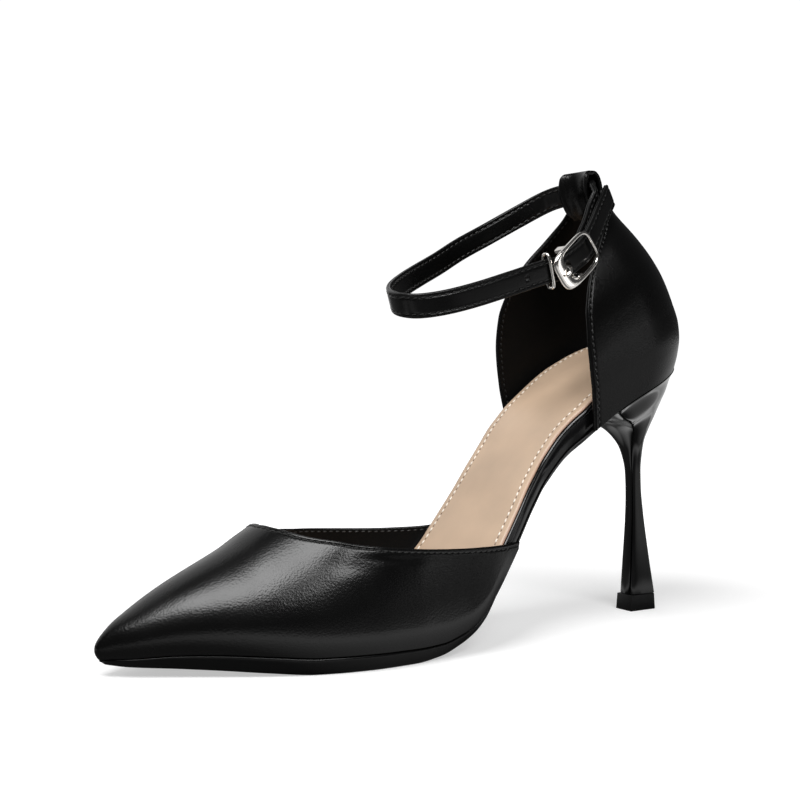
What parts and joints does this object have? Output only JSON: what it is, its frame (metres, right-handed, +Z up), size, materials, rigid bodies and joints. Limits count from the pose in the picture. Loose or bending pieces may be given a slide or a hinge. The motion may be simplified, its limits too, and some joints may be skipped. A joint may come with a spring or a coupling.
{
  "type": "high heel",
  "caption": "Pointed high-heeled pump for the left foot: closed toe, open waist, cupped heel quarter, buckled ankle strap and a thin heel that flares at its tip.",
  "frame": {"origin": "bottom centre of the whole shoe's box, on the floor it stands on", "axes": "+X from the toe to the heel, -Y to the outer (left) side where the buckle is, +Z up"},
  "size_m": [0.219, 0.075, 0.1598],
  "materials": {
    "black_leather": "fine-grained black leather, semi-gloss",
    "black_sole": "matte black moulded sole",
    "black_wrap": "glossy black wrapped edge",
    "beige_lining": "smooth beige sock lining",
    "black_gloss": "polished black",
    "black_rubber": "matte black",
    "silver": "polished silver"
  },
  "bodies": {
    "root": {"outsole": "black_sole", "insole_board": "black_wrap", "sock": "beige_lining", "vamp": "black_leather", "quarter": "black_leather", "heel": "black_gloss", "top_lift": "black_rubber", "ankle_strap": "black_leather", "buckle_frame": "silver", "buckle_prong": "silver", "buckle_keeper": "silver"}
  },
  "joints": []
}
